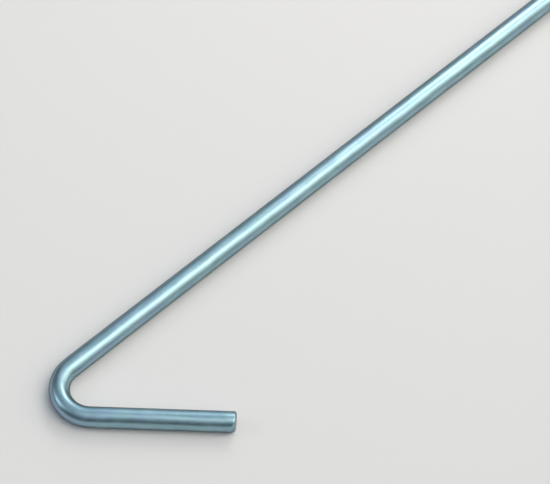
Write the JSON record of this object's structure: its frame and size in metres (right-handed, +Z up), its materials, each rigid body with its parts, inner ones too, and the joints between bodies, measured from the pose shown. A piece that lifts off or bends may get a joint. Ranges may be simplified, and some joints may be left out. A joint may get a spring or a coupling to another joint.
{
  "type": "ceiling hanger rod",
  "caption": "Straight round wire rod with one end bent back into an acute open hook, for hanging the runner of a suspended ceiling.",
  "frame": {"origin": "middle of the rod's box at its base, on the surface that the rod lies on", "axes": "+X along the shank towards its plain end, -Y to the side that the hook's leg lies on, +Z up out of the hook's plane"},
  "size_m": [0.25, 0.0326, 0.004],
  "materials": {
    "zinc_steel": "bright zinc-plated drawn wire with fine draw lines"
  },
  "bodies": {
    "root": {"hanger_rod": "zinc_steel"}
  },
  "joints": []
}
